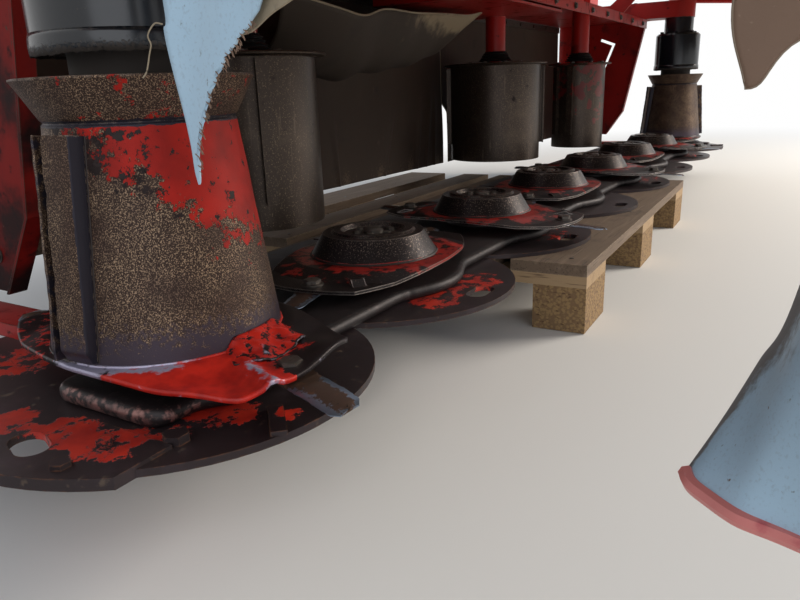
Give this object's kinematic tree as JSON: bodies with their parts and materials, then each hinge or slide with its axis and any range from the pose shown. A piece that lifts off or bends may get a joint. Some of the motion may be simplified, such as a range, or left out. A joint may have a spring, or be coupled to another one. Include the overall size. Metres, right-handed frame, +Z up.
{
  "type": "front-mounted disc mower",
  "caption": "Disc mower unit with oval discs on a cutterbar, conical end drums, crop drums, red hood frame, folding front guard and three-point headstock.",
  "frame": {"origin": "on the floor, under the middle of the whole machine", "axes": "+X along the cutterbar, -Y the direction of travel, +Z up"},
  "size_m": [3.645, 1.422, 1.1659],
  "materials": {
    "red_paint": "worn satin red enamel",
    "worn_steel": "scuffed rusty steel",
    "knife_steel": "ground steel",
    "bar_casting": "dirty cast steel",
    "black_gloss": "gloss black paint",
    "black_rubber": "moulded rubber",
    "pale_canvas": "coated canvas",
    "dusty_canvas": "dusty coated canvas",
    "grey_wood": "weathered softwood"
  },
  "bodies": {
    "frame": {"cutterbar": "bar_casting", "skids": "red_paint", "bar_brackets": "red_paint", "side_plate_left": "red_paint", "side_plate_right": "red_paint", "roof": "red_paint", "centre_carrier": "red_paint", "main_beam": "red_paint", "headstock": "red_paint", "gearbox": "bar_casting", "drive_tubes": "black_gloss", "drive_arms": "red_paint", "end_housings": "black_gloss", "drum_posts": "red_paint", "drum_boots": "black_rubber", "pallet_deck": "grey_wood", "pallet_bearers": "grey_wood", "pallet_blocks": "grey_wood", "canvas_rear_left": "dusty_canvas", "canvas_rear_right": "dusty_canvas", "canvas_valance": "dusty_canvas"},
    "input": {"input_shaft": "knife_steel"},
    "rotor_1": {"disc_1": "red_paint", "knives_1": "knife_steel", "end_drum_left": "worn_steel"},
    "rotor_2": {"disc_2": "red_paint", "knives_2": "knife_steel"},
    "rotor_3": {"disc_3": "red_paint", "knives_3": "knife_steel"},
    "rotor_4": {"disc_4": "red_paint", "knives_4": "knife_steel"},
    "rotor_5": {"disc_5": "red_paint", "knives_5": "knife_steel"},
    "rotor_6": {"disc_6": "red_paint", "knives_6": "knife_steel"},
    "rotor_7": {"disc_7": "red_paint", "knives_7": "knife_steel"},
    "rotor_8": {"disc_8": "red_paint", "knives_8": "knife_steel", "end_drum_right": "worn_steel"},
    "inner_1": {"inner_drum_1": "worn_steel"},
    "inner_2": {"inner_drum_2": "worn_steel"},
    "inner_3": {"inner_drum_3": "worn_steel"},
    "front_guard": {"guard_frame": "red_paint", "canvas_top": "pale_canvas", "canvas_skirt": "pale_canvas", "canvas_strip": "pale_canvas", "canvas_corner": "pale_canvas", "canvas_remnant": "pale_canvas"}
  },
  "joints": [
    {"name": "rotor_1_spin", "type": "hinge", "parent": "frame", "child": "rotor_1", "pos_m": [-1.5225, -0.054, 0.185], "axis": [0, 0, 1], "continuous": true},
    {"name": "rotor_2_spin", "type": "hinge", "parent": "frame", "child": "rotor_2", "pos_m": [-1.0875, -0.054, 0.185], "axis": [0, 0, 1], "continuous": true},
    {"name": "rotor_3_spin", "type": "hinge", "parent": "frame", "child": "rotor_3", "pos_m": [-0.6525, -0.054, 0.185], "axis": [0, 0, 1], "continuous": true},
    {"name": "rotor_4_spin", "type": "hinge", "parent": "frame", "child": "rotor_4", "pos_m": [-0.2175, -0.054, 0.185], "axis": [0, 0, 1], "continuous": true},
    {"name": "rotor_5_spin", "type": "hinge", "parent": "frame", "child": "rotor_5", "pos_m": [0.2175, -0.054, 0.185], "axis": [0, 0, 1], "continuous": true},
    {"name": "rotor_6_spin", "type": "hinge", "parent": "frame", "child": "rotor_6", "pos_m": [0.6525, -0.054, 0.185], "axis": [0, 0, 1], "continuous": true},
    {"name": "rotor_7_spin", "type": "hinge", "parent": "frame", "child": "rotor_7", "pos_m": [1.0875, -0.054, 0.185], "axis": [0, 0, 1], "continuous": true},
    {"name": "rotor_8_spin", "type": "hinge", "parent": "frame", "child": "rotor_8", "pos_m": [1.5225, -0.054, 0.185], "axis": [0, 0, 1], "continuous": true},
    {"name": "inner_1_spin", "type": "hinge", "parent": "frame", "child": "inner_1", "pos_m": [-1.0005, 0.282, 0.185], "axis": [0, 0, 1], "continuous": true},
    {"name": "inner_2_spin", "type": "hinge", "parent": "frame", "child": "inner_2", "pos_m": [0.261, 0.308, 0.185], "axis": [0, 0, 1], "continuous": true},
    {"name": "inner_3_spin", "type": "hinge", "parent": "frame", "child": "inner_3", "pos_m": [0.7743, 0.174, 0.185], "axis": [0, 0, 1], "continuous": true},
    {"name": "input_spin", "type": "hinge", "parent": "frame", "child": "input", "pos_m": [0, 0.511, 0.943], "axis": [0, 1, 0], "continuous": true},
    {"name": "front_guard_fold", "type": "hinge", "parent": "frame", "child": "front_guard", "pos_m": [0, 0.016, 0.817], "axis": [-1, 0, 0], "range_deg": [0, 95]}
  ],
  "couplings": [
    {"joint": "rotor_2_spin", "follows": "rotor_1_spin", "ratio": -1},
    {"joint": "rotor_3_spin", "follows": "rotor_1_spin", "ratio": 1},
    {"joint": "rotor_4_spin", "follows": "rotor_1_spin", "ratio": -1},
    {"joint": "rotor_5_spin", "follows": "rotor_1_spin", "ratio": 1},
    {"joint": "rotor_6_spin", "follows": "rotor_1_spin", "ratio": -1},
    {"joint": "rotor_7_spin", "follows": "rotor_1_spin", "ratio": 1},
    {"joint": "rotor_8_spin", "follows": "rotor_1_spin", "ratio": -1},
    {"joint": "inner_1_spin", "follows": "rotor_1_spin", "ratio": -0.5},
    {"joint": "inner_2_spin", "follows": "rotor_1_spin", "ratio": -0.5},
    {"joint": "inner_3_spin", "follows": "rotor_1_spin", "ratio": 0.5},
    {"joint": "input_spin", "follows": "rotor_1_spin", "ratio": 0.5}
  ]
}
